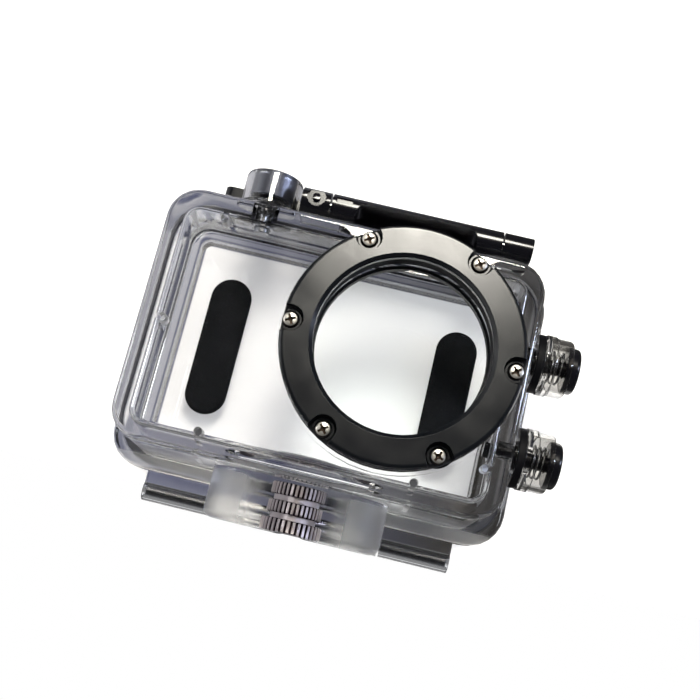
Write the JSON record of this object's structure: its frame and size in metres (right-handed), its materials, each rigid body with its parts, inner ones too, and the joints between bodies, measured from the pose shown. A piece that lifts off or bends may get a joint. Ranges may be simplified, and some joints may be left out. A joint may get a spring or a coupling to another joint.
{
  "type": "underwater camera housing",
  "caption": "Clear hinged waterproof case for a small action camera, with a screwed lens port, a latch lever, sprung push buttons and a tripod block.",
  "frame": {"origin": "centre of the back door's flat outer face", "axes": "+X along the case's width, +Y from the hinge towards the latch, +Z from the back door out through the lens port"},
  "size_m": [0.0861, 0.0661, 0.0339],
  "materials": {
    "clear_shell": "clear polycarbonate",
    "window": "flat clear window",
    "satin_black": "satin moulded black",
    "gloss_black": "glossy moulded black",
    "dark_metal": "polished dark metal",
    "black_rubber": "matte rubber",
    "silicone": "dark slate silicone",
    "foam": "charcoal foam with a cloth face",
    "steel": "stainless steel",
    "screw_steel": "bright stainless steel",
    "insert_metal": "knurled plated metal"
  },
  "bodies": {
    "housing": {"front_shell": "clear_shell", "tripod_insert": "insert_metal", "lens_window": "window", "lens_gasket": "black_rubber", "lens_ring": "satin_black", "lens_ring_screw_1": "screw_steel", "lens_ring_screw_2": "screw_steel", "lens_ring_screw_3": "screw_steel", "lens_ring_screw_4": "screw_steel", "lens_ring_screw_5": "screw_steel", "lens_ring_screw_6": "screw_steel", "hinge_pin": "steel", "latch_bracket": "gloss_black", "latch_pin_left": "steel", "latch_pin_right": "steel", "shutter_collar": "clear_shell", "shutter_seal": "black_rubber", "shutter_o_ring": "black_rubber", "upper_side_collar": "clear_shell", "upper_side_seal": "black_rubber", "upper_side_o_ring": "black_rubber", "lower_side_collar": "clear_shell", "lower_side_seal": "black_rubber", "lower_side_o_ring": "black_rubber"},
    "door": {"back_door": "clear_shell", "door_gasket": "silicone", "pad_left": "foam", "pad_right": "foam"},
    "latch": {"latch_lever": "gloss_black"},
    "shutter_button": {"shutter_cap": "dark_metal", "shutter_stem": "steel", "shutter_spring": "steel", "shutter_clip": "steel"},
    "upper_side_button": {"upper_side_cap": "gloss_black", "upper_side_stem": "gloss_black", "upper_side_spring": "steel", "upper_side_clip": "steel"},
    "lower_side_button": {"lower_side_cap": "gloss_black", "lower_side_stem": "gloss_black", "lower_side_spring": "steel", "lower_side_clip": "steel"}
  },
  "joints": [
    {"name": "door_hinge", "type": "hinge", "parent": "housing", "child": "door", "pos_m": [0, -0.0317, 0.0022], "axis": [-1, 0, 0], "range_deg": [0, 170]},
    {"name": "latch_hinge", "type": "hinge", "parent": "housing", "child": "latch", "pos_m": [0, 0.0272, 0.0244], "axis": [1, 0, 0], "range_deg": [0, 100]},
    {"name": "shutter_press", "type": "slide", "parent": "housing", "child": "shutter_button", "axis": [0, -1, 0], "range_m": [0, 0.001], "stiffness_N_per_m": 900, "springref_m": -0.0006, "deforming": ["shutter_spring"]},
    {"name": "upper_side_press", "type": "slide", "parent": "housing", "child": "upper_side_button", "axis": [-1, 0, 0], "range_m": [0, 0.0015], "stiffness_N_per_m": 900, "springref_m": -0.0006, "deforming": ["upper_side_spring"]},
    {"name": "lower_side_press", "type": "slide", "parent": "housing", "child": "lower_side_button", "axis": [-1, 0, 0], "range_m": [0, 0.0015], "stiffness_N_per_m": 900, "springref_m": -0.0006, "deforming": ["lower_side_spring"]}
  ]
}
